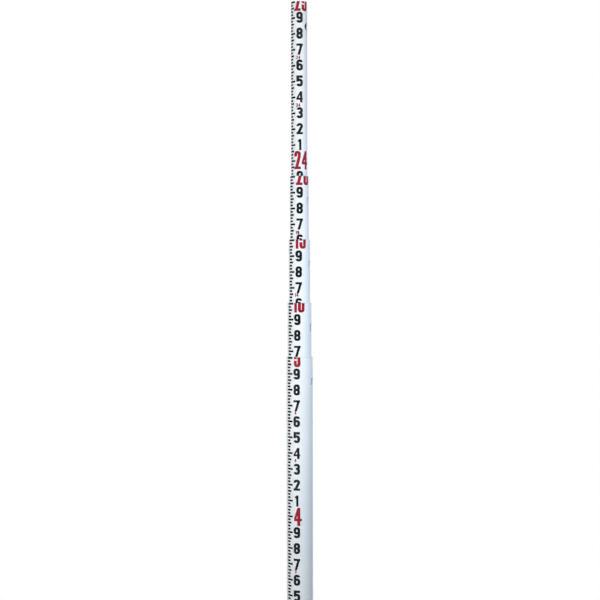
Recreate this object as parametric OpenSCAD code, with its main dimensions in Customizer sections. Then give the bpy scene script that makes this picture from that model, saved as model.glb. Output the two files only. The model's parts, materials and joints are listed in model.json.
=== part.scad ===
// Round telescoping leveling staff in five nested sections.
// Millimetres, Z up. The origin is the middle of the foot's lower face, which is the zero of the scale.
// The scale faces -Y, the lock holes face +X, and a narrow flat along the back (+Y) keys the sections.

/* [Scale] */
// Length of the scale that each section carries (five feet)
section_scale = 1524; // [900:1:1800]
// Length of each moving section below its first graduation, which stays in the section below
overlap = 80; // [70:1:160]
// Height at which the top section stands above its stop
top_raise = 213.3; // [0:0.1:800]

/* [Tubes] */
// Outer diameter of the lowest tube
base_tube_d = 51; // [50.5:0.1:60]
// Wall of every tube
tube_wall = 2; // [1.5:0.1:2.1]
// Gap between a tube and the section that slides in it, per side
slide_gap = 0.45; // [0.35:0.05:0.5]
// Depth of the keying flat, measured inward from the round outline
flat_depth = 1; // [0.6:0.1:1.3]
// Bevel of each tube's upper outer edge
tube_bevel = 0.4; // [0.2:0.1:0.8]

/* [Locks] */
// Diameter of the lock holes
lock_hole_d = 15.6; // [12:0.1:16]
// Distance from a section's top edge down to the centre of its lock hole
lock_drop = 48; // [40:1:58]
// Gap between a button and the hole that it passes, per side
button_gap = 0.3; // [0.2:0.05:0.5]
// Gap between a resting button and the wall of the section around it
button_rest_gap = 0.3; // [0.2:0.05:0.4]
// Width of the shoulder that keeps the button in, beyond its nose
shoulder_step = 1; // [0.8:0.1:1.2]
// Thickness of the shoulder
shoulder_t = 3; // [2:0.5:4]
// Running fit of the shoulder in its bore, per side
button_fit = 0.08; // [0.03:0.01:0.1]
// Distance from a resting button's shoulder to the tube wall in front of it
button_pop = 3.1; // [3:0.1:3.5]
// Bevel around the button's tip
button_bevel = 1; // [0.6:0.1:1.5]
// Diameter of the spring pocket in the button's back
pocket_d = 10; // [9:0.1:11]
// Depth of the spring pocket
pocket_depth = 5; // [3:0.5:6]

/* [Springs] */
// Length of the space that the button spring fills at rest
spring_space = 18.6; // [16:0.1:19]
// Mean diameter of the spring's coils
spring_d = 8; // [7:0.1:8.5]
// Diameter of the spring wire
spring_wire_d = 1; // [0.6:0.1:1.2]
// Number of coils
spring_turns = 7; // [5:1:8]
// Gap at each end of the spring
spring_end_gap = 0.05; // [0.02:0.01:0.2]

/* [Plugs] */
// Height of a section's plug, from its lower face to its upper face
plug_h = 118; // [110:1:150]
// Thickness of the plug's flange under the tube
plug_flange_t = 3; // [2:0.5:5]
// Fit of a plug, shoe or cap in its tube, per side
plug_fit = 0.1; // [0.05:0.01:0.2]
// Height at which the plug's lower land ends
land_low_h = 58; // [56:1:66]
// Height at which the plug's upper land begins
land_high_h = 98; // [90:1:104]
// Depth of the waist between the two lands
waist_depth = 3; // [2:0.5:4]
// Width of the air groove down the plug's left side
groove_w = 4; // [2:0.5:6]
// Depth of the air groove
groove_depth = 1.6; // [1:0.1:2]

/* [Bumpers] */
// Thickness of the rubber bumpers
bumper_t = 4; // [2:0.5:8]
// Gap between a bumper's rim and the tube around it
bumper_rim_gap = 1.5; // [1.4:0.1:3]
// Diameter of the stud that holds a bumper
stud_d = 8; // [6:0.5:10]
// Length of the stud
stud_len = 6; // [4:0.5:8]
// Gap around and under the stud
stud_gap = 0.1; // [0.05:0.05:0.3]

/* [Rivets] */
// Diameter of the rivet shanks
rivet_d = 3.2; // [2.4:0.1:4]
// Diameter of the rivet heads
rivet_head_d = 6; // [5:0.1:7]
// Depth of the countersunk heads
rivet_head_t = 1.4; // [1:0.1:1.6]
// Length of the rivets, head included
rivet_len = 10; // [7:0.5:12]
// Height of the plug rivets above the plug's lower face
rivet_h = 50; // [46:1:54]
// Gap between a fastener and its hole, per side
rivet_fit = 0.05; // [0.02:0.01:0.1]

/* [Foot] */
// Thickness of the steel wear plate
plate_t = 4; // [3:0.5:6]
// Bevel of the wear plate's lower edge
plate_bevel = 0.6; // [0.3:0.1:1.2]
// Thickness of the shoe's flange under the lowest tube
shoe_flange_t = 3; // [2:0.5:5]
// Height of the shoe inside the tube
shoe_h = 13.2; // [12:0.1:30]
// Number of plate screws
screw_count = 3; // [3:1:5]
// Radius of the circle on which the screws lie
screw_circle_r = 15; // [12:0.5:17]
// Diameter of the screw shanks
screw_d = 4; // [3:0.1:5]
// Diameter of the screw heads
screw_head_d = 8; // [7:0.1:9]
// Height of the countersunk screw heads
screw_head_h = 2.2; // [1.8:0.1:2.6]
// Length of the screws, head included
screw_len = 12; // [9:0.5:14]
// Distance from the plate's lower face up to the screw heads
screw_sink = 0.3; // [0.1:0.1:0.5]
// Width of the cross recess in the screw heads
recess_w = 1.2; // [0.8:0.1:1.5]
// Length of each arm of the recess, tip to tip
recess_len = 4.4; // [3:0.1:5]
// Depth of the recess
recess_depth = 1.2; // [0.8:0.1:1.6]

/* [Top cap] */
// Depth of the cap that closes the top section
cap_depth = 18; // [10:1:30]
// Thickness of the cap's top and skirt
cap_wall = 2.5; // [1.5:0.1:4]
// Bevel around the cap's top
cap_bevel = 0.5; // [0.2:0.1:1]

/* [Hidden] */
last_section = 5;
$fn = 96;
// Extra reach of a cutting shape beyond what it cuts
cut = 1;

lock_hole_r = lock_hole_d / 2;
nose_r = lock_hole_r - button_gap;
shoulder_r = nose_r + shoulder_step;
button_bore_r = shoulder_r + button_fit;
// Height of a button's centre above the lower face of its plug
button_h = overlap - lock_drop;
foot_stack = plate_t + shoe_flange_t + shoe_h + bumper_t;
section_step = plug_h + bumper_t;

// Radii of a section's tube
function outer_r(k) = base_tube_d / 2 - (k - 1) * (tube_wall + slide_gap);
function inner_r(k) = outer_r(k) - tube_wall;

// Height of a section's lower face, and of its upper edge, above the ground at rest
function base_z(k) =
    k == 1 ? 0
    : foot_stack + (k - 2) * section_step + (k == last_section ? top_raise : 0);
function top_z(k) = k == 1 ? section_scale : base_z(k) + overlap + section_scale;
// Height at which a section's tube begins
function tube_z(k) = k == 1 ? plate_t + shoe_flange_t : base_z(k) + plug_flange_t;

// Distances from the axis along a button's path
function shoulder_x(k) = sqrt(pow(inner_r(k), 2) - pow(shoulder_r, 2)) - button_pop;
function tip_x(k) =
    sqrt(pow(inner_r(k - 1) - button_rest_gap, 2) - pow(nose_r - button_bevel, 2));
function back_x(k) = shoulder_x(k) - shoulder_t;
function seat_x(k) = back_x(k) + pocket_depth - spring_space;

// Points of the spring's centre line: a plain helix along X
spring_rings_per_turn = 8;
spring_sides = 6;
spring_ring_count = spring_turns * spring_rings_per_turn;
spring_run = spring_space - 2 * spring_end_gap - spring_wire_d;
spring_pitch = spring_run / spring_turns;
function coil_angle(i) = 360 * i / spring_rings_per_turn;
function coil_point(i) = [
    spring_end_gap + spring_wire_d / 2 + spring_run * i / spring_ring_count,
    spring_d / 2 * cos(coil_angle(i)),
    spring_d / 2 * sin(coil_angle(i))
];
// Directions across the wire at a ring: away from the coil's axis, and square to that and to the wire
function coil_out(i) = [0, cos(coil_angle(i)), sin(coil_angle(i))];
function coil_along(i) = [spring_pitch, -PI * spring_d * sin(coil_angle(i)), PI * spring_d * cos(coil_angle(i))];
function coil_side(i) = cross(coil_along(i), coil_out(i)) / norm(coil_along(i));
function coil_ring(i) = [
    for (s = [0 : spring_sides - 1])
        coil_point(i)
        + spring_wire_d / 2 * cos(360 * s / spring_sides) * coil_out(i)
        + spring_wire_d / 2 * sin(360 * s / spring_sides) * coil_side(i)
];
spring_gap = min([
    for (i = [0 : spring_ring_count - spring_rings_per_turn])
        norm(coil_point(i + spring_rings_per_turn) - coil_point(i)) - spring_wire_d
]);
echo(least_gap_between_spring_coils = spring_gap);

// Round rod with the keying flat along its back
module keyed_rod(r, h) {
    difference() {
        cylinder(r = r, h = h);
        translate([-r, r - flat_depth, -cut])
            cube([2 * r, flat_depth + cut, h + 2 * cut]);
    }
}

// Ring that bevels the upper rim of a rod whose top face lies at z = 0
module rim_bevel(r, size) {
    rotate_extrude()
        polygon([[r - size, 0], [r + cut, -size - cut], [r + cut, cut], [r - size, cut]]);
}

// Hole through one wall, from the axis out along +X
module side_hole(r, reach) {
    rotate([0, 90, 0])
        cylinder(r = r, h = reach + cut);
}

// Countersunk rivet whose head lies at a distance from the axis, pointing out along +X
module rivet(face, grow) {
    translate([face - rivet_len, 0, 0])
        rotate([0, 90, 0])
            cylinder(r = rivet_d / 2 + grow, h = rivet_len + grow);
    translate([face - rivet_head_t, 0, 0])
        rotate([0, 90, 0])
            cylinder(r1 = rivet_d / 2 + grow, r2 = rivet_head_d / 2 + grow, h = rivet_head_t + grow);
}

// The two rivets through a moving section's plug, at its front and back
module plug_rivet_pair(k, grow) {
    translate([0, 0, base_z(k) + rivet_h]) {
        rotate(-90)
            rivet(outer_r(k), grow);
        rotate(90)
            rivet(outer_r(k) - flat_depth, grow);
    }
}

// The two rivets through the foot's shoe, at its left and right
module foot_rivet_pair(grow) {
    translate([0, 0, tube_z(1) + shoe_h / 2])
        for (side = [0, 180])
            rotate(side)
                rivet(outer_r(1), grow);
}

// The plate screws' places on their circle
module at_screws() {
    for (i = [0 : screw_count - 1])
        rotate(90 + 360 * i / screw_count)
            translate([screw_circle_r, 0, screw_sink])
                children();
}

module screw_shape(grow) {
    cylinder(r = screw_d / 2 + grow, h = screw_len + grow);
    cylinder(r1 = screw_head_d / 2 + grow, r2 = screw_d / 2 + grow, h = screw_head_h);
}

// Bumper whose lower face lies at z = 0, with its stud below
module bumper_shape(r) {
    cylinder(r = r, h = bumper_t);
    translate([0, 0, -stud_len])
        cylinder(r = stud_d / 2, h = stud_len + bumper_t / 2);
}

// Hole for a bumper's stud, below a face at z = 0
module stud_hole() {
    translate([0, 0, -stud_len - stud_gap])
        cylinder(r = stud_d / 2 + stud_gap, h = stud_len + stud_gap + cut);
}

// A section's fibreglass tube
module section_tube(k) {
    tube_h = top_z(k) - tube_z(k);
    color("whitesmoke")
        difference() {
            translate([0, 0, tube_z(k)])
                keyed_rod(outer_r(k), tube_h);
            translate([0, 0, tube_z(k) - cut])
                keyed_rod(inner_r(k), tube_h + 2 * cut);
            translate([0, 0, top_z(k)])
                rim_bevel(outer_r(k), tube_bevel);
            translate([0, 0, top_z(k) - lock_drop])
                side_hole(lock_hole_r, outer_r(k));
            if (k == 1) {
                foot_rivet_pair(rivet_fit);
            } else {
                translate([0, 0, base_z(k) + button_h])
                    side_hole(lock_hole_r, outer_r(k));
                plug_rivet_pair(k, rivet_fit);
            }
        }
}

// Nylon plug in the bottom end of a moving section
module section_plug(k) {
    land_r = inner_r(k) - plug_fit;
    color("dimgray")
        difference() {
            translate([0, 0, base_z(k)]) {
                keyed_rod(outer_r(k), plug_flange_t);
                keyed_rod(land_r, land_low_h);
                cylinder(r = land_r - waist_depth, h = plug_h);
                translate([0, 0, land_high_h])
                    keyed_rod(land_r, plug_h - land_high_h);
            }
            translate([seat_x(k), 0, base_z(k) + button_h])
                side_hole(button_bore_r, outer_r(k) - seat_x(k));
            translate([-outer_r(k) - cut, -groove_w / 2, base_z(k) - cut])
                cube([outer_r(k) - land_r + groove_depth + cut, groove_w, plug_h + 2 * cut]);
            plug_rivet_pair(k, rivet_fit);
            if (k < last_section)
                translate([0, 0, base_z(k) + plug_h])
                    stud_hole();
        }
}

// Rivets that hold a plug, trimmed flush with the tube
module section_rivets(k) {
    color("silver")
        intersection() {
            plug_rivet_pair(k, 0);
            translate([0, 0, base_z(k)])
                keyed_rod(outer_r(k), plug_h);
        }
}

// Turned lock button: nose, shoulder and spring pocket
module lock_button(k) {
    color("gray")
        translate([0, 0, base_z(k) + button_h])
            rotate([0, 90, 0])
                rotate_extrude()
                    polygon([
                        [pocket_d / 2, back_x(k)],
                        [shoulder_r, back_x(k)],
                        [shoulder_r, shoulder_x(k)],
                        [nose_r, shoulder_x(k)],
                        [nose_r, tip_x(k) - button_bevel],
                        [nose_r - button_bevel, tip_x(k)],
                        [0, tip_x(k)],
                        [0, back_x(k) + pocket_depth],
                        [pocket_d / 2, back_x(k) + pocket_depth]
                    ]);
}

// Coil spring behind a button, as one swept tube
module button_spring(k) {
    last = spring_ring_count;
    points = [for (i = [0 : last]) each coil_ring(i)];
    sides = [
        for (i = [0 : last - 1], s = [0 : spring_sides - 1])
            let (
                a = i * spring_sides + s,
                b = i * spring_sides + (s + 1) % spring_sides,
                c = b + spring_sides,
                d = a + spring_sides
            )
            each [[a, b, c], [a, c, d]]
    ];
    first_cap = [for (s = [1 : spring_sides - 2]) [0, s + 1, s]];
    last_cap = [for (s = [1 : spring_sides - 2]) last * spring_sides * [1, 1, 1] + [0, s, s + 1]];
    color("lightsteelblue")
        translate([seat_x(k), 0, base_z(k) + button_h])
            polyhedron(points = points, faces = concat(sides, first_cap, last_cap));
}

// Rubber bumper on a section's plug
module section_bumper(k) {
    color("black")
        translate([0, 0, base_z(k) + plug_h])
            bumper_shape(inner_r(k) - bumper_rim_gap);
}

// Steel wear plate under the foot
module foot_plate() {
    color("silver")
        difference() {
            keyed_rod(outer_r(1), plate_t);
            mirror([0, 0, 1])
                rim_bevel(outer_r(1), plate_bevel);
            at_screws()
                translate([0, 0, -screw_sink])
                    cylinder(r = screw_d / 2 + rivet_fit, h = plate_t + cut);
            at_screws()
                screw_shape(rivet_fit);
            at_screws()
                translate([0, 0, -screw_sink - cut])
                    cylinder(r = screw_head_d / 2 + rivet_fit, h = screw_sink + cut);
        }
}

// Cast shoe that closes the lowest tube
module foot_shoe() {
    color("lightgray")
        difference() {
            translate([0, 0, plate_t]) {
                keyed_rod(outer_r(1), shoe_flange_t);
                keyed_rod(inner_r(1) - plug_fit, shoe_flange_t + shoe_h);
            }
            at_screws()
                screw_shape(rivet_fit);
            foot_rivet_pair(rivet_fit);
            translate([0, 0, tube_z(1) + shoe_h])
                stud_hole();
        }
}

// Countersunk screws of the wear plate
module foot_screws() {
    color("silver")
        at_screws()
            difference() {
                screw_shape(0);
                for (turn = [0, 90])
                    rotate(turn)
                        translate([-recess_len / 2, -recess_w / 2, -cut])
                            cube([recess_len, recess_w, recess_depth + cut]);
            }
}

// Rivets of the shoe, trimmed flush with the tube
module foot_rivets() {
    color("silver")
        intersection() {
            foot_rivet_pair(0);
            keyed_rod(outer_r(1), tube_z(1) + shoe_h);
        }
}

// Rubber bumper on the shoe
module foot_bumper() {
    color("black")
        translate([0, 0, tube_z(1) + shoe_h])
            bumper_shape(inner_r(1) - bumper_rim_gap);
}

// Cap that closes the top section, flush with its edge
module top_cap() {
    cap_r = inner_r(last_section) - plug_fit;
    color("black")
        translate([0, 0, top_z(last_section)])
            difference() {
                translate([0, 0, -cap_depth])
                    keyed_rod(cap_r, cap_depth);
                translate([0, 0, -cap_depth - cut])
                    cylinder(r = cap_r - cap_wall, h = cap_depth - cap_wall + cut);
                rim_bevel(cap_r, cap_bevel);
            }
}

for (k = [1 : last_section])
    section_tube(k);
for (k = [2 : last_section])
    section_plug(k);
for (k = [2 : last_section])
    section_rivets(k);
for (k = [2 : last_section])
    lock_button(k);
for (k = [2 : last_section])
    button_spring(k);
for (k = [2 : last_section - 1])
    section_bumper(k);
foot_plate();
foot_shoe();
foot_screws();
foot_rivets();
foot_bumper();
top_cap();
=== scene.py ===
"""Looks of a round telescoping leveling staff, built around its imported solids.

Metres, with Z up, the scale towards -Y and the lock holes towards +X.
"""
import json
import math

import bpy
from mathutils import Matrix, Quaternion, Vector
from mathutils.geometry import delaunay_2d_cdt


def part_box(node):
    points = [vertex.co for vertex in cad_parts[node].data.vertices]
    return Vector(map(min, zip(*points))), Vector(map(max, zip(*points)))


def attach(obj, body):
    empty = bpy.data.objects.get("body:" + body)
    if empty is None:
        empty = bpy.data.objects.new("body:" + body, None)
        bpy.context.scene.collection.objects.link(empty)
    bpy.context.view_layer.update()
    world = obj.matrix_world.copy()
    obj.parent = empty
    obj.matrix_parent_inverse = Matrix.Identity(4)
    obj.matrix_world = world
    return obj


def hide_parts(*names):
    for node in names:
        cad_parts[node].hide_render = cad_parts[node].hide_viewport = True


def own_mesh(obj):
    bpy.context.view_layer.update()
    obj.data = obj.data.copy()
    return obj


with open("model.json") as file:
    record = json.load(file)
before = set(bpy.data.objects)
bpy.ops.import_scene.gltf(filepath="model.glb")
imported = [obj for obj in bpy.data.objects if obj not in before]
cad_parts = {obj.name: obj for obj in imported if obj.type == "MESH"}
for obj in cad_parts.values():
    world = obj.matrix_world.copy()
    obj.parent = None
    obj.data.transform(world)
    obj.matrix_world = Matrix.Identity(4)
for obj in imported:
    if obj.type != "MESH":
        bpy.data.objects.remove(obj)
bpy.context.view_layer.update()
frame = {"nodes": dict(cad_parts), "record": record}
MM = 0.001

# The scale's divisions
FOOT = 0.3048
TENTH = FOOT / 10
HUNDREDTH = FOOT / 100
SECTION_FEET = 5
LAST_SECTION = 5

# Bars are one hundredth thick, with gaps of one hundredth
BARS_PER_FOOT = 50
# Their lengths around the tube, by how many hundredths above a tenth their upper edges stand
BAR_LENGTHS = {0: 13.4 * MM, 2: 7.9 * MM, 4: 7.9 * MM, 6: 10.5 * MM, 8: 7.9 * MM}
# The ink runs a little over the edges of the bars
BAR_SPREAD = 0.2 * MM
# Where the left ends of the bars lie on each section, in degrees from the front towards the lock holes
BAR_START = {1: -44.7, 2: -46.5, 3: -47.5, 4: -51.5, 5: -59.5}

# Left edges of the tenth, foot and small numbers, measured around the tube from the bars' left ends
TENTH_LEFT = {1: 15.6 * MM, 2: 15.0 * MM, 3: 15.7 * MM, 4: 16.2 * MM, 5: 15.7 * MM}
FOOT_LEFT = {1: 16.6 * MM, 2: 15.6 * MM, 3: 16.3 * MM, 4: 15.2 * MM, 5: 11.2 * MM}
SMALL_LEFT = {1: 17.6 * MM, 2: 14.4 * MM, 3: 14.7 * MM, 4: 14.9 * MM, 5: 14.9 * MM}
# Heights of the tenth and foot numbers' middles above the middles of their bars
NUMBER_RAISE = {1: 0.0, 2: 0.2 * MM, 3: 0.3 * MM, 4: 0.6 * MM, 5: 0.8 * MM}
# Foot numbers that were laid higher or lower than the rest of their section
FOOT_RAISE = {10: 0.4 * MM, 15: 0.8 * MM, 20: 0.8 * MM, 24: 0.8 * MM, 25: -0.8 * MM}
# Places of the small repeated foot number, in feet above the foot mark
SMALL_PLACES = (0.35, 0.65)
# Sections whose small numbers were laid lower than the others
SMALL_RAISE = {4: -2.0 * MM, 5: -1.2 * MM}

# Styles of the numbers. The level strokes are "stroke" thick, and the upright ones "stretch" times that.
# "one" and "four" are the widths of a 1 and a 4, "overhang" is how far the 4's bar runs on past its stem,
# and "gap" lies between two digits. "parts" holds the digits whose strokes are thinner than the rest, each
# with the share of the thickness that its strokes keep.
TENTH_DIGIT = {
    "height": 21.4 * MM, "width": 12.9 * MM, "stroke": 4.8 * MM, "stretch": 1.08,
    "one": 12.9 * MM, "four": 12.9 * MM, "overhang": 0.8 * MM, "gap": 2.0 * MM,
    "parts": {"1": (0.86, 0.86), "4": (0.88, 0.79, 0.68), "7": (0.94, 0.92)},
}
FOOT_DIGIT = {
    "height": 35.0 * MM, "width": 13.0 * MM, "stroke": 5.5 * MM, "stretch": 1.06,
    "one": 5.4 * MM, "four": 15.4 * MM, "overhang": 3.2 * MM, "gap": 1.9 * MM,
    "parts": {"4": (1.0, 0.9, 0.8)},
}
SMALL_DIGIT = {
    "height": 6.8 * MM, "width": 3.9 * MM, "stroke": 1.85 * MM, "stretch": 1.0,
    "one": 2.4 * MM, "four": 3.9 * MM, "overhang": 0.3 * MM, "gap": 0.6 * MM,
    "parts": {"4": (0.85, 0.8, 0.7)},
}
# The curves of the digits: 1 makes ellipses, less makes them squarer
CURVE_SQUARENESS = 0.78

# Camera: at the height of the staff's upper third, looking slightly down. Degrees, metres and pixels.
IMAGE_SIZE = 600
FOCAL_PIXELS = 1337
CAMERA_AZIMUTH = 18.0
CAMERA_DISTANCE = 2.5862
CAMERA_HEIGHT = 1.6645
HORIZON_ABOVE_CENTRE = 15.9
AXIS_LEFT_OF_CENTRE = 0.5
CAMERA_ROLL = -0.086


def around(radius, azimuth, z):
    """A point on a tube. The azimuth is in radians from the front (-Y) towards +X."""
    return Vector((radius * math.sin(azimuth), -radius * math.cos(azimuth), z))


def put(name, data):
    """A new object in the scene."""
    made = bpy.data.objects.new(name, data)
    bpy.context.scene.collection.objects.link(made)
    return made


def make_camera():
    azimuth = math.radians(CAMERA_AZIMUTH)
    toward = Vector((-math.sin(azimuth), math.cos(azimuth), 0))
    right = Vector((math.cos(azimuth), math.sin(azimuth), 0))
    data = bpy.data.cameras.new("camera")
    data.lens = data.sensor_width * FOCAL_PIXELS / IMAGE_SIZE
    camera = put("camera", data)
    camera.location = -CAMERA_DISTANCE * toward + Vector((0, 0, CAMERA_HEIGHT))
    look = toward + right * (AXIS_LEFT_OF_CENTRE / FOCAL_PIXELS)
    look = look - Vector((0, 0, HORIZON_ABOVE_CENTRE / FOCAL_PIXELS))
    camera.rotation_mode = "QUATERNION"
    roll = Quaternion((0, 0, 1), math.radians(CAMERA_ROLL))
    camera.rotation_quaternion = look.to_track_quat("-Z", "Y") @ roll
    bpy.context.scene.camera = camera


def make_object(name, verts, faces, material):
    """A mesh object in the scene, with its origin at the frame's."""
    mesh = bpy.data.meshes.new(name)
    mesh.from_pydata(verts, [], faces)
    mesh.materials.append(material)
    return put(name, mesh)


def smooth(mesh, sharp_angle):
    """Smooth shading, except over edges that bend by more than an angle in degrees."""
    mesh.polygons.foreach_set("use_smooth", [True] * len(mesh.polygons))
    mesh.set_sharp_from_angle(angle=math.radians(sharp_angle))


# Node trees


class Tree:
    """Short names for building the node tree of a material or of the world."""

    def __init__(self, owner):
        owner.use_nodes = True
        self.tree = owner.node_tree
        self.tree.nodes.clear()

    def add(self, kind, **settings):
        node = self.tree.nodes.new(kind)
        for key, value in settings.items():
            setattr(node, key, value)
        return node

    def join(self, source, target):
        self.tree.links.new(source, target)

    def feed(self, target, value):
        """Sets an input to a number or colour, or links another node's output to it."""
        if isinstance(value, bpy.types.NodeSocket):
            self.join(value, target)
        else:
            target.default_value = value

    def math(self, operation, a, b):
        node = self.add("ShaderNodeMath", operation=operation)
        self.feed(node.inputs[0], a)
        self.feed(node.inputs[1], b)
        return node.outputs[0]

    def looked_at(self):
        """1 where the camera, a reflection or a clear surface looks, and 0 for all other light."""
        path = self.add("ShaderNodeLightPath")
        seen = self.math("MAXIMUM", path.outputs["Is Camera Ray"], path.outputs["Is Glossy Ray"])
        return self.math("MAXIMUM", seen, path.outputs["Is Transmission Ray"])

    def blend(self, factor, first, second):
        """One shader's output, turning into another's as the factor goes from 0 to 1."""
        node = self.add("ShaderNodeMixShader")
        for socket, source in zip(node.inputs, (factor, first, second)):
            self.join(source, socket)
        return node.outputs["Shader"]


class Surface(Tree):
    """A material's nodes, around one Principled shader."""

    def __init__(self, name):
        self.material = bpy.data.materials.new(name)
        super().__init__(self.material)
        self.shader = self.add("ShaderNodeBsdfPrincipled")
        self.output = self.add("ShaderNodeOutputMaterial")
        self.join(self.shader.outputs["BSDF"], self.output.inputs["Surface"])
        self.place = self.add("ShaderNodeTexCoord").outputs["Object"]

    def set(self, **sockets):
        """Sets or links the shader's own inputs."""
        for name, value in sockets.items():
            self.feed(self.shader.inputs[name.replace("_", " ")], value)

    def vectors(self, operation, *values):
        node = self.add("ShaderNodeVectorMath", operation=operation)
        for socket, value in zip(node.inputs, values):
            self.feed(socket, value)
        return node.outputs

    def noise(self, scale, detail, vector=None):
        """Noise with about this many waves in a metre, and with finer detail by octaves."""
        node = self.add("ShaderNodeTexNoise")
        self.join(vector or self.place, node.inputs["Vector"])
        node.inputs["Scale"].default_value = scale
        node.inputs["Detail"].default_value = detail
        return node.outputs["Fac"]

    def streaks(self, frequencies):
        """Noise with a frequency of its own along each axis, which draws it out into streaks."""
        node = self.add("ShaderNodeMapping")
        self.join(self.place, node.inputs["Vector"])
        node.inputs["Scale"].default_value = frequencies
        return self.noise(1.0, 4.0, node.outputs["Vector"])

    def remap(self, value, span, start, end):
        """A number that goes from start to end as the value crosses a span."""
        node = self.add("ShaderNodeMapRange")
        self.feed(node.inputs["Value"], value)
        node.inputs["From Min"].default_value, node.inputs["From Max"].default_value = span
        node.inputs["To Min"].default_value = start
        node.inputs["To Max"].default_value = end
        return node.outputs["Result"]

    def mix(self, factor, a, b):
        node = self.add("ShaderNodeMix", data_type="RGBA")
        self.feed(node.inputs["Factor"], factor)
        self.feed(node.inputs["A"], (*a, 1) if isinstance(a, tuple) else a)
        self.feed(node.inputs["B"], (*b, 1) if isinstance(b, tuple) else b)
        return node.outputs["Result"]

    def shade(self, value, span, colours):
        """A colour that goes from the first to the second as the value crosses a span."""
        return self.mix(self.remap(value, span, 0, 1), *colours)

    def bump(self, height, strength, distance):
        node = self.add("ShaderNodeBump")
        self.join(height, node.inputs["Height"])
        node.inputs["Strength"].default_value = strength
        node.inputs["Distance"].default_value = distance
        self.join(node.outputs["Normal"], self.shader.inputs["Normal"])


# Materials

# Spans of a noise's values: nearly all of them, the middle ones, those above its valleys, and its rare peaks
FULL = (0.3, 0.7)
MIDDLE = (0.35, 0.65)
ABOVE_VALLEYS = (0.35, 0.75)
PEAKS = (0.70, 0.78)

# Glass fibres run along the tube: frequencies of their streaks, and the strength and depth of their relief
FIBRES = (900, 900, 14)
FIBRE_RELIEF = (0.12, 0.2 * MM)
# Colours that vary are given by their two ends. Streaks and specks show through the white by their shares.
GEL_WHITE = ((0.885, 0.905, 0.915), (0.91, 0.925, 0.93))
GEL_STREAK = (0.86, 0.885, 0.90)
STREAK_SHARE = 0.35
GEL_SPECK = (0.62, 0.63, 0.62)
SPECK_SHARE = 0.25
CUT_GLASS = ((0.84, 0.86, 0.86), (0.92, 0.93, 0.92))
# The inside is raw resin, made nearly black to paint the shade inside the hollow tubes
RESIN_AND_PAINTED_SHADE = ((0.030, 0.033, 0.036), (0.060, 0.062, 0.064))
# Cosines between a surface's normal and the direction away from the axis: the coat sets in over the first
# span, and the dark inside, raw resin with painted shade, gives way to cut glass over the second
COAT_SETS_IN = (0.30, 0.55)
SHADED_INSIDE_GIVES_WAY = (-0.90, -0.70)
# Roughness of the gel coat, and how much rougher the surfaces without it are
GEL_ROUGHNESS = (0.20, 0.27)
BARE_ROUGHER = 0.4
# Mirror strength of the clear coat over the white
COAT_SPECULAR = 0.16

INK_ROUGHNESS = (0.15, 0.22)
INK_BLACK = ((0.003, 0.004, 0.005), (0.007, 0.008, 0.010))
INK_RED = ((0.31, 0.006, 0.024), (0.39, 0.011, 0.034))
# Inks: colour and mirror strength
INKS = {
    "bar_black": (INK_BLACK, 0.04),
    "scale_black": (INK_BLACK, 0.18),
    "scale_red": (INK_RED, 0.18),
}

# Strength and depth of the fine grain on moulded pieces
GRAIN_RELIEF = (0.35, 0.06 * MM)
# Moulded plastic and rubber: colour and roughness
MOULDED = {
    "plug_nylon": (((0.045, 0.046, 0.050), (0.070, 0.071, 0.076)), (0.42, 0.58)),
    "cap_plastic": (((0.018, 0.018, 0.020), (0.032, 0.032, 0.034)), (0.40, 0.55)),
    "bumper_rubber": (((0.016, 0.016, 0.016), (0.034, 0.033, 0.032)), (0.65, 0.85)),
}

# Frequencies of a metal's lines, which run around an axis, or of its even grain
AROUND_Z = (60, 60, 2400)
AROUND_X = (2400, 60, 60)
EVEN_GRAIN = (500, 500, 500)
# Strength and depth of their relief
LINE_RELIEF = (0.25, 0.04 * MM)
# How much the worn patches add to the lines, and the span of both together
WEAR_SHARE = 0.6
LINES_AND_WEAR = (0.5, 1.1)
# Metals: colour, roughness and lines
METALS = {
    "rivet_alloy": (((0.62, 0.62, 0.63), (0.78, 0.78, 0.79)), (0.28, 0.45), AROUND_Z),
    "button_alloy": (((0.50, 0.50, 0.52), (0.68, 0.68, 0.70)), (0.25, 0.42), AROUND_X),
    "spring_steel": (((0.40, 0.41, 0.43), (0.58, 0.59, 0.61)), (0.25, 0.40), AROUND_Z),
    "wear_plate_steel": (((0.42, 0.42, 0.43), (0.60, 0.60, 0.61)), (0.30, 0.50), AROUND_Z),
    "shoe_alloy": (((0.52, 0.53, 0.54), (0.68, 0.69, 0.70)), (0.40, 0.60), EVEN_GRAIN),
    "screw_steel": (((0.45, 0.45, 0.46), (0.64, 0.64, 0.65)), (0.25, 0.40), AROUND_Z),
}


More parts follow.
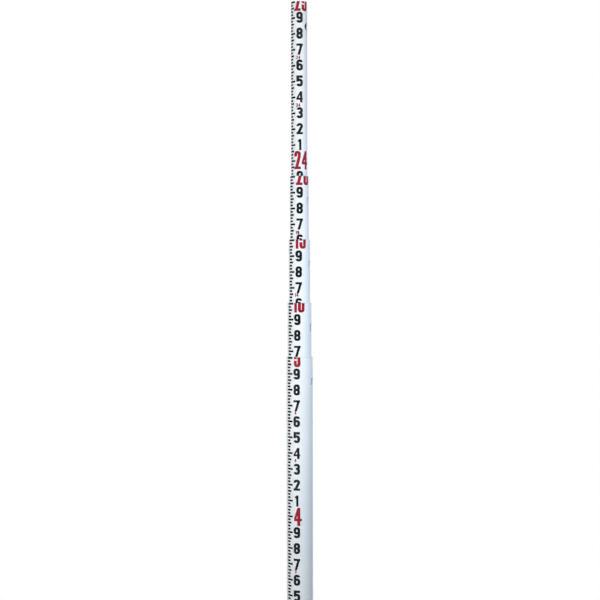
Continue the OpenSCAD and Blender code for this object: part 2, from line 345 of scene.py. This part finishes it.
def gel_coat():
    """White gel coat outside, pale cut glass fibre on the ends and in the holes, and raw resin inside, made
    nearly black as painted shade.
    """
    n = Surface("gel_coat")
    fibres = n.streaks(FIBRES)
    clouds = n.noise(9.0, 2.0)
    specks = n.noise(420.0, 2.0)
    polish = n.noise(60.0, 4.0)
    white = n.shade(clouds, MIDDLE, GEL_WHITE)
    white = n.mix(n.remap(fibres, ABOVE_VALLEYS, 0, STREAK_SHARE), white, GEL_STREAK)
    white = n.mix(n.remap(specks, PEAKS, 0, SPECK_SHARE), white, GEL_SPECK)
    glass = n.shade(fibres, FULL, CUT_GLASS)
    # Raw resin, nearly black as painted shade of the tube's hollow inside
    resin_and_shade = n.shade(fibres, FULL, RESIN_AND_PAINTED_SHADE)
    # The wall's normal against the direction away from the axis tells the outside, the inside and the rest
    level = n.vectors("MULTIPLY", n.place, (1, 1, 0))["Vector"]
    outward = n.vectors("NORMALIZE", level)["Vector"]
    normal = n.add("ShaderNodeNewGeometry").outputs["True Normal"]
    facing = n.vectors("DOT_PRODUCT", outward, normal)["Value"]
    coated = n.remap(facing, COAT_SETS_IN, 0, 1)
    inside = n.remap(facing, SHADED_INSIDE_GIVES_WAY, 1, 0)
    n.set(Base_Color=n.mix(inside, n.mix(coated, glass, white), resin_and_shade))
    rougher = n.math("MULTIPLY", n.math("SUBTRACT", 1.0, coated), BARE_ROUGHER)
    n.set(Roughness=n.math("ADD", n.remap(polish, FULL, *GEL_ROUGHNESS), rougher))
    n.set(Specular_IOR_Level=COAT_SPECULAR)
    n.bump(fibres, *FIBRE_RELIEF)
    return n.material


def print_ink(name, colours, specular):
    """Printed graduation under the clear coat, with slightly uneven density."""
    n = Surface(name)
    density = n.noise(700.0, 3.0)
    polish = n.noise(80.0, 4.0)
    n.set(Base_Color=n.shade(density, FULL, colours))
    n.set(Roughness=n.remap(polish, FULL, *INK_ROUGHNESS))
    n.set(Specular_IOR_Level=specular)
    n.bump(n.streaks(FIBRES), *FIBRE_RELIEF)
    return n.material


def moulded(name, colours, roughness):
    """Moulded plastic or rubber with a fine grain and slow patches."""
    n = Surface(name)
    patches = n.noise(45.0, 3.0)
    grain = n.noise(1800.0, 2.0)
    n.set(Base_Color=n.shade(patches, MIDDLE, colours))
    n.set(Roughness=n.remap(patches, FULL, *roughness))
    n.bump(grain, *GRAIN_RELIEF)
    return n.material


def metal(name, colours, roughness, frequencies):
    """Metal with fine turned lines or an even grain, and a few worn patches."""
    n = Surface(name)
    lines = n.streaks(frequencies)
    patches = n.noise(160.0, 4.0)
    worn = n.math("ADD", lines, n.math("MULTIPLY", patches, WEAR_SHARE))
    n.set(Base_Color=n.shade(lines, FULL, colours), Metallic=1.0)
    n.set(Roughness=n.remap(worn, LINES_AND_WEAR, *roughness))
    n.bump(lines, *LINE_RELIEF)
    return n.material


def make_materials():
    materials = {"gel_coat": gel_coat()}
    for maker, kinds in ((print_ink, INKS), (moulded, MOULDED), (metal, METALS)):
        for name, values in kinds.items():
            materials[name] = maker(name, *values)
    return materials


def dress_solids(materials):
    """Each carried-over solid gets the material of its slot."""
    for part in frame["record"]["subparts"]:
        solid = frame["nodes"][part["node"]]
        solid.data.materials.clear()
        solid.data.materials.append(materials[part["material_slot"]])


# Digits, as strokes inside a box

# A stroke is closed where its ends are closer than this
CLOSED_GAP = 1e-9
# How far a stroke's corner may reach out, in half thicknesses
CORNER_REACH = 2.0
# Widest step around the tube between two rows of vertices of the print
BEND_STEP = 1.2 * MM
# Triangles smaller than this are left out of the print
SLIVER_AREA = 5e-6 * MM * MM
# The triangulation fills the points' whole hull, and joins points closer than this share of the width
FILL_HULL = 0
JOINED_POINTS = 1e-6


def arc(centre_x, centre_y, radius_x, radius_y, start, end, steps=12):
    """Points of an elliptical arc; the angles are in degrees."""
    points = []
    for i in range(steps + 1):
        a = math.radians(start + (end - start) * i / steps)
        x, y = math.cos(a), math.sin(a)
        x, y = (math.copysign(abs(v) ** CURVE_SQUARENESS, v) for v in (x, y))
        points.append((centre_x + radius_x * x, centre_y + radius_y * y))
    return points


def digit_strokes(digit, w, h, t, overhang):
    """Centre lines of a digit's strokes in a box w wide and h high, for strokes t thick.

    The digits' proportions are written as shares of w, h and t.
    """
    left, right = t / 2, w - t / 2
    low, high = t / 2, h - t / 2
    middle = w / 2
    half = (right - left) / 2
    bend = min(half * 1.05, (high - low) / 4)
    tall = h > 2 * w
    if digit == "0":
        ring = arc(middle, high - bend, half, bend, 0, 180) + arc(middle, low + bend, half, bend, 180, 360)
        return [ring + ring[:1]]
    if digit == "1":
        stem = w - t / 2 if w < 2 * t else w * 0.58
        flag_tip = (stem - w * 0.30, high - h * 0.12)
        return [[(stem, -t), (stem, h + t)], [(stem, high + t * 0.2), flag_tip]]
    if digit == "2":
        top = arc(middle, high - bend, half, bend, 180, 0)
        if tall:
            # Straight sides below the round top
            side = high - bend - (h - 2 * w) * 0.4
            top = [(left, side)] + top + [(right, side)]
        return [top + [(left + t * 0.35, low + t * 0.1)], [(0, low - t * 0.1), (w, low - t * 0.1)]]
    if digit == "3":
        waist = h * 0.53
        upper = arc(middle, (waist + high) / 2, half * 0.96, (high - waist) / 2, 165, -90)
        lower = arc(middle, (waist + low) / 2, half, (waist - low) / 2, 90, -165)
        return [upper, lower, [(w * 0.36, waist), (w * 0.6, waist)]]
    if digit == "4":
        stem = w - overhang - t / 2
        bar = h * 0.33
        slope = [(stem, h + t * 0.1), (t * 0.25, bar)]
        return [[(stem, -t), (stem, h + t)], [(0, bar), (w, bar)], slope]
    if digit == "5":
        waist = h * 0.60
        if tall:
            # Straight sides, and a hook that rises far up on the left
            bowl = arc(middle, waist - bend, half, bend, 140, 0)
            bowl += arc(middle, low + bend, half, bend, 0, -180)
            bowl.append((left, h * 0.36))
        else:
            bowl = arc(middle, (waist + low) / 2, half, (waist - low) / 2, 140, -160, 16)
        return [[(left * 0.9, high), (w * 0.97, high)], [(left * 1.02, h), (left * 1.02, h * 0.44)], bowl]
    if digit == "6":
        waist = h * 0.55
        bowl = min(bend, (waist - low) / 2)
        loop = arc(middle, waist - bowl, half, bowl, 0, 180) + arc(middle, low + bowl, half, bowl, 180, 360)
        top = arc(middle, high - bend, half, bend, 10, 180)
        return [loop + loop[:1], top + [(left, waist - bowl)]]
    if digit == "7":
        return [[(0, high + t * 0.1), (w, high + t * 0.1)], [(right + t * 0.08, h), (w * 0.30, -t * 0.5)]]
    if digit == "8":
        waist = h * 0.505
        upper = arc(middle, (waist + high) / 2, half * 0.97, (high - waist) / 2, 0, 360, 24)
        lower = arc(middle, (waist + low) / 2, half, (waist - low) / 2, 0, 360, 24)
        return [upper, lower]
    # A 9 is a 6 turned half round
    turned = digit_strokes("6", w, h, t, overhang)
    return [[(w - x, h - y) for x, y in stroke] for stroke in turned]


def stroke_quads(points, thickness):
    """Quads of a stroke of constant thickness along a centre line."""
    line = [Vector(p) for p in points]
    closed = (line[0] - line[-1]).length < CLOSED_GAP
    directions = [(b - a).normalized() for a, b in zip(line, line[1:])]
    sides = []
    for i in range(len(line)):
        if closed and i in (0, len(line) - 1):
            before, after = directions[-1], directions[0]
        else:
            before = directions[max(i - 1, 0)]
            after = directions[min(i, len(directions) - 1)]
        along = (before + after).normalized()
        reach = thickness / 2 / max(along.dot(after), 1 / CORNER_REACH)
        across = Vector((-along.y, along.x)) * reach
        sides.append((line[i] + across, line[i] - across))
    return [[a[1], b[1], b[0], a[0]] for a, b in zip(sides, sides[1:])]


def flat_shape(quads, width, low, high):
    """Triangles that cover the quads inside the box, cut at every bend line: (points, triangles)."""
    verts, faces, edges = [], [], []
    for quad in quads:
        # Two triangles in place of the quad, because its inner side can cross over in a tight bend
        for a, b, c in (quad[:3], [quad[0], quad[2], quad[3]]):
            area = (b - a).cross(c - a) / 2
            if abs(area) > SLIVER_AREA:
                faces.append([len(verts), len(verts) + 1, len(verts) + 2])
                verts.extend([a, b, c] if area > 0 else [a, c, b])
    # Bend lines and the box's level edges, which run on past the box by its width
    steps = max(1, math.ceil(width / BEND_STEP))
    lines = []
    for i in range(steps + 1):
        x = width * i / steps
        lines.append(((x, low - width), (x, high + width)))
    for z in (low, high):
        lines.append(((-width, z), (width + width, z)))
    for a, b in lines:
        edges.append((len(verts), len(verts) + 1))
        verts.extend([Vector(a), Vector(b)])
    # The triangulation works on numbers near one, so lengths go in as multiples of the width
    scaled = [v / width for v in verts]
    result = delaunay_2d_cdt(scaled, edges, faces, FILL_HULL, JOINED_POINTS, True)
    points, _, triangles, _, _, owners = result
    points = [p * width for p in points]
    kept = []
    for triangle, owner in zip(triangles, owners):
        centre = sum((points[i] for i in triangle), Vector((0, 0))) / len(triangle)
        if owner and 0 < centre.x < width and low < centre.y < high:
            kept.append(list(triangle))
    return points, kept


shape_cache = {}


def digit_shape(digit, style, low, high):
    """A digit's flat triangles, cut to the heights between low and high, and its width."""
    width = style[{"1": "one", "4": "four"}.get(digit, "width")]
    key = (digit, style["height"], low, high)
    if key not in shape_cache:
        quads = []
        stretch = style["stretch"]
        overhang = style["overhang"] / stretch
        strokes = digit_strokes(digit, width / stretch, style["height"], style["stroke"], overhang)
        for stroke, part in zip(strokes, style["parts"].get(digit, (1.0,) * len(strokes))):
            for quad in stroke_quads(stroke, style["stroke"] * part):
                quads.append([Vector((p.x * stretch, p.y)) for p in quad])
        shape_cache[key] = flat_shape(quads, width, low, high)
    return shape_cache[key], width


def bar_shape(length, height):
    quad = [Vector((0, 0)), Vector((length, 0)), Vector((length, height)), Vector((0, height))]
    return flat_shape([quad], length, 0, height)


# The scale, wrapped around the tubes

# Print stands proud of the tube and reaches into it by these depths
PRINT_PROUD = 0.05 * MM
PRINT_SUNK = 0.03 * MM
# Edges of the print that bend by more than this stay sharp, in degrees
PRINT_SHARP = 35
# Numbers of which less than this height is left at a cut end aren't printed
LEAST_HEIGHT = HUNDREDTH / 2


class PrintSheet:
    """Collects thin raised shapes wrapped around one section's tube, and makes them one mesh."""

    def __init__(self, section):
        low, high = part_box(f"section_{section}_tube")
        self.section = section
        self.radius = high.x
        self.top = high.z
        self.zero = high.z - SECTION_FEET * FOOT
        self.tube_low = low.z
        self.verts, self.faces = [], []

    def wrap(self, s, z, radius):
        azimuth = math.radians(BAR_START[self.section]) + s / self.radius
        return around(radius, azimuth, z)

    def add(self, points, triangles, s0, z0):
        """A closed thin shell over the triangles, moved by (s0, z0) on the tube's surface."""
        used = sorted({i for t in triangles for i in t})
        outer = {i: len(self.verts) + n for n, i in enumerate(used)}
        inner = {i: outer[i] + len(used) for i in used}
        for radius in (self.radius + PRINT_PROUD, self.radius - PRINT_SUNK):
            self.verts.extend(self.wrap(s0 + points[i].x, z0 + points[i].y, radius) for i in used)
        # An edge that a second triangle shares isn't a side; the dict keeps the sides in their order
        sides = {}
        for t in triangles:
            self.faces.append([outer[i] for i in t])
            self.faces.append([inner[i] for i in reversed(t)])
            for a, b in zip(t, t[1:] + t[:1]):
                if (b, a) in sides:
                    del sides[(b, a)]
                else:
                    sides[(a, b)] = True
        for a, b in sides:
            self.faces.append([outer[b], outer[a], inner[a], inner[b]])

    def finish(self, name, slot, material):
        piece = make_object(name, self.verts, self.faces, material)
        smooth(piece.data, PRINT_SHARP)
        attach(piece, f"section_{self.section}")


def write_number(sheet, number, style, left, middle_z):
    """Digits side by side from a left edge, centred on a height, cut off at the section's ends."""
    low_z = middle_z - style["height"] / 2
    low = max(0.0, sheet.zero - low_z)
    high = min(style["height"], sheet.top - low_z)
    if high - low < LEAST_HEIGHT:
        return
    for digit in str(number):
        # Cuts are rounded to the micrometre, so that equal ones share a shape
        (points, triangles), width = digit_shape(digit, style, round(low, 6), round(high, 6))
        sheet.add(points, triangles, left, low_z)
        left += width + style["gap"]


def add_bars(sheet):
    """All the bars of one section."""
    shapes = {step: bar_shape(length, HUNDREDTH + 2 * BAR_SPREAD) for step, length in BAR_LENGTHS.items()}
    # The last bar ends where the tube is cut, so its ink can't spread upwards
    last_bar = SECTION_FEET * BARS_PER_FOOT
    last_shape = bar_shape(BAR_LENGTHS[0], HUNDREDTH + BAR_SPREAD)
    for count in range(1, last_bar + 1):
        z = sheet.zero + count * 2 * HUNDREDTH - HUNDREDTH - BAR_SPREAD
        if z > sheet.tube_low:
            points, triangles = last_shape if count == last_bar else shapes[count * 2 % 10]
            sheet.add(points, triangles, 0.0, z)


def make_scale(section, materials):
    """The bars, tenth numbers and foot numbers of one section."""
    bars, tenths, feet = PrintSheet(section), PrintSheet(section), PrintSheet(section)
    first_foot = SECTION_FEET * (section - 1)
    add_bars(bars)
    for tenth in range(SECTION_FEET * 10 + 1):
        middle_z = tenths.zero + tenth * TENTH - HUNDREDTH / 2 + NUMBER_RAISE[section]
        if tenth % 10 == 0:
            foot = first_foot + tenth // 10
            if foot > 0:
                foot_z = middle_z + FOOT_RAISE.get(foot, 0.0)
                write_number(feet, foot, FOOT_DIGIT, FOOT_LEFT[section], foot_z)
        elif middle_z - TENTH_DIGIT["height"] / 2 > tenths.tube_low:
            write_number(tenths, tenth % 10, TENTH_DIGIT, TENTH_LEFT[section], middle_z)
    for foot in range(SECTION_FEET):
        for place in SMALL_PLACES:
            if first_foot + foot > 0:
                middle_z = feet.zero + (foot + place) * FOOT + SMALL_RAISE.get(section, 0.0)
                write_number(feet, first_foot + foot, SMALL_DIGIT, SMALL_LEFT[section], middle_z)
    bars.finish(f"scale_bars_{section}", "scale_black", materials["bar_black"])
    tenths.finish(f"scale_tenths_{section}", "scale_black", materials["scale_black"])
    feet.finish(f"scale_feet_{section}", "scale_red", materials["scale_red"])


# Springs behind the lock buttons

COIL_TURNS = 7
COIL_STEPS = 24
WIRE_SIDES = 10
WIRE_DIAMETER = 1.0 * MM
# Edges of the wire that bend by more than this stay sharp, in degrees
WIRE_SHARP = 50


def make_spring(section, materials):
    """A round-wire coil in the place of its plain solid."""
    low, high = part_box(f"button_spring_{section}")
    centre_z = (low.z + high.z) / 2
    wire = WIRE_DIAMETER / 2
    coil = (high.y - low.y) / 2 - wire
    start, run = low.x + wire, high.x - low.x - 2 * wire
    count = COIL_TURNS * COIL_STEPS
    pitch = run / COIL_TURNS
    verts, faces = [], []
    for i in range(count + 1):
        angle = 2 * math.pi * i / COIL_STEPS
        out = Vector((0, math.cos(angle), math.sin(angle)))
        along = Vector((pitch, -2 * math.pi * coil * math.sin(angle), 2 * math.pi * coil * math.cos(angle)))
        side = along.normalized().cross(out)
        middle = Vector((start + run * i / count, 0, centre_z)) + coil * out
        for s in range(WIRE_SIDES):
            turn = 2 * math.pi * s / WIRE_SIDES
            verts.append(middle + wire * (math.cos(turn) * out + math.sin(turn) * side))
    for i in range(count):
        for s in range(WIRE_SIDES):
            a, b = i * WIRE_SIDES + s, i * WIRE_SIDES + (s + 1) % WIRE_SIDES
            faces.append([a, b, b + WIRE_SIDES, a + WIRE_SIDES])
    faces.append(list(reversed(range(WIRE_SIDES))))
    faces.append(list(range(count * WIRE_SIDES, (count + 1) * WIRE_SIDES)))
    piece = make_object(f"coil_{section}", verts, faces, materials["spring_steel"])
    smooth(piece.data, WIRE_SHARP)
    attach(piece, f"section_{section}")
    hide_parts(f"button_spring_{section}")
    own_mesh(piece)


# Surroundings

FLOOR_RADIUS = 3.0
FLOOR_RINGS = 12
FLOOR_SPOKES = 96
# Distances from the staff between which the floor fades out
FLOOR_FADE = (0.5, 2.6)
FLOOR_COLOURS = ((0.83, 0.83, 0.83), (0.87, 0.87, 0.87))
FLOOR_ROUGHNESS = 0.9
# How much of white the floor shows to the camera and in reflections, on top of the light that falls on it
FLOOR_PALENESS = 0.36
WHITE = (1, 1, 1, 1)
# The cool light that comes from all around
FILL_COLOUR = (0.76, 0.87, 1.0, 1)
FILL_STRENGTH = 0.307


def make_floor():
    """A pale round floor whose rim fades into the white surroundings."""
    verts = [(0, 0, 0)]
    for ring in range(1, FLOOR_RINGS + 1):
        radius = FLOOR_RADIUS * ring / FLOOR_RINGS
        for spoke in range(FLOOR_SPOKES):
            angle = 2 * math.pi * spoke / FLOOR_SPOKES
            verts.append((radius * math.cos(angle), radius * math.sin(angle), 0))
    spokes = [(i, (i + 1) % FLOOR_SPOKES) for i in range(FLOOR_SPOKES)]
    faces = [[0, 1 + i, 1 + j] for i, j in spokes]
    for ring in range(FLOOR_RINGS - 1):
        inner = 1 + ring * FLOOR_SPOKES
        outer = inner + FLOOR_SPOKES
        faces += [[inner + i, outer + i, outer + j, inner + j] for i, j in spokes]
    n = Surface("floor_paper")
    patches = n.noise(40.0, 3.0)
    n.set(Base_Color=n.shade(patches, FULL, FLOOR_COLOURS), Roughness=FLOOR_ROUGHNESS)
    n.set(Emission_Color=WHITE, Emission_Strength=n.math("MULTIPLY", n.looked_at(), FLOOR_PALENESS))
    clear = n.add("ShaderNodeBsdfTransparent")
    faded = n.remap(n.vectors("LENGTH", n.place)["Value"], FLOOR_FADE, 0, 1)
    n.join(n.blend(faded, n.shader.outputs["BSDF"], clear.outputs["BSDF"]), n.output.inputs["Surface"])
    floor = make_object("floor", verts, faces, n.material)


def make_world():
    """White where the camera, a reflection or a clear surface looks, and a dim cool light on the staff."""
    world = bpy.data.worlds.new("world")
    n = Tree(world)
    lights = []
    for colour, strength in ((FILL_COLOUR, FILL_STRENGTH), (WHITE, 1.0)):
        light = n.add("ShaderNodeBackground")
        light.inputs["Color"].default_value = colour
        light.inputs["Strength"].default_value = strength
        lights.append(light.outputs["Background"])
    output = n.add("ShaderNodeOutputWorld")
    n.join(n.blend(n.looked_at(), *lights), output.inputs["Surface"])
    bpy.context.scene.world = world


def make_lamp(name, azimuth, distance, height, aim_height, size, power, colour, gloss=False):
    """A rectangular lamp, aimed at the axis. Its azimuth runs from the front towards the lock holes."""
    data = bpy.data.lights.new(name, "AREA")
    data.shape = "RECTANGLE"
    data.size, data.size_y = size
    data.energy = power
    data.color = colour
    lamp = put(name, data)
    lamp.location = around(distance, math.radians(azimuth), height)
    aim = Vector((0, 0, aim_height)) - lamp.location
    lamp.rotation_mode = "QUATERNION"
    lamp.rotation_quaternion = aim.to_track_quat("-Z", "Y")
    lamp.visible_camera = False
    lamp.visible_glossy = gloss


def make_lamps():
    """Five lamps shade the staff without showing in its gel coat, and three more are mirrored in it."""
    make_lamp("front", azimuth=-14, distance=0.8, height=1.45, aim_height=1.45,
              size=(0.3, 0.4), power=2.8, colour=(1.0, 0.975, 0.92))
    make_lamp("side", azimuth=70, distance=0.6, height=1.64, aim_height=1.62,
              size=(0.25, 0.4), power=1.35, colour=(0.61, 0.78, 1.0))
    make_lamp("top", azimuth=10, distance=0.8, height=2.3, aim_height=2.1,
              size=(0.3, 0.4), power=2.55, colour=(1.0, 0.96, 0.915))
    make_lamp("base", azimuth=-5, distance=0.5, height=0.42, aim_height=0.42,
              size=(0.25, 0.5), power=0.45, colour=(1.0, 0.98, 0.95))
    make_lamp("back", azimuth=198, distance=1.8, height=1.4, aim_height=1.3,
              size=(0.5, 1.2), power=13.0, colour=(1.0, 0.97, 0.93))
    make_lamp("low_gloss", azimuth=-13, distance=1.8, height=1.15, aim_height=1.2,
              size=(0.2, 0.3), power=1.8, colour=(1.0, 1.0, 1.0), gloss=True)
    make_lamp("high_gloss", azimuth=-14, distance=1.8, height=2.3, aim_height=2.0,
              size=(0.25, 0.5), power=1.6, colour=(0.8, 0.9, 1.0), gloss=True)
    make_lamp("key_gloss", azimuth=54, distance=0.95, height=2.1, aim_height=2.0,
              size=(0.15, 0.6), power=1.4, colour=(0.9, 0.95, 1.0), gloss=True)


make_camera()
made = make_materials()
dress_solids(made)
for number in range(1, LAST_SECTION + 1):
    make_scale(number, made)
for number in range(2, LAST_SECTION + 1):
    make_spring(number, made)
make_floor()
make_world()
make_lamps()
bpy.context.scene.view_settings.view_transform = "Standard"
